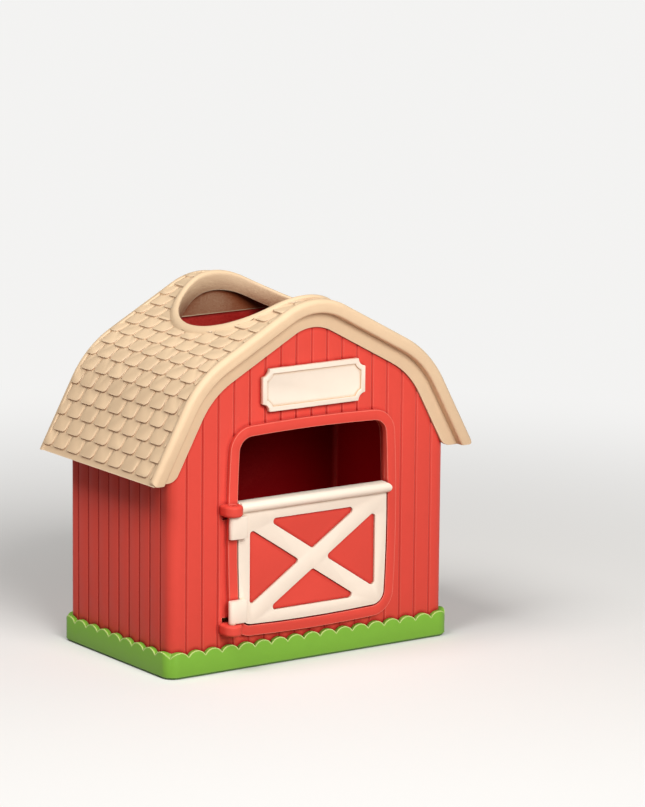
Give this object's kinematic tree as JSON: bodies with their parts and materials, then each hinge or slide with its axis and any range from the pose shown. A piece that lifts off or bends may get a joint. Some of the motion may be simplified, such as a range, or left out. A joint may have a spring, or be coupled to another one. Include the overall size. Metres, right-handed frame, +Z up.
{
  "type": "toy barn",
  "caption": "Small moulded plastic toy barn with a shingled gambrel roof, a round drop opening in the ridge, plank walls, a scalloped base and a hinged half door with X bracing.",
  "frame": {"origin": "middle of the footprint, on the surface that the barn stands on", "axes": "+Z up, +X to the right as seen from the front, the door faces -Y"},
  "size_m": [0.1398, 0.0802, 0.133],
  "materials": {
    "wall_plastic": "satin moulded plastic",
    "roof_plastic": "satin moulded plastic",
    "base_plastic": "satin moulded plastic",
    "door_plastic": "satin moulded plastic",
    "inset_plastic": "satin moulded plastic",
    "sign_plastic": "satin moulded plastic",
    "screw_steel": "zinc plated"
  },
  "bodies": {
    "barn": {"barn_walls": "wall_plastic", "roof": "roof_plastic", "base": "base_plastic", "sign_plate": "sign_plastic", "base_screws": "screw_steel"},
    "door": {"door_leaf": "door_plastic", "door_inset": "inset_plastic"}
  },
  "joints": [
    {"name": "door_swing", "type": "hinge", "parent": "barn", "child": "door", "pos_m": [-0.036, -0.038, 0.0375], "axis": [0, 0, 1], "range_deg": [-170, 0]}
  ]
}
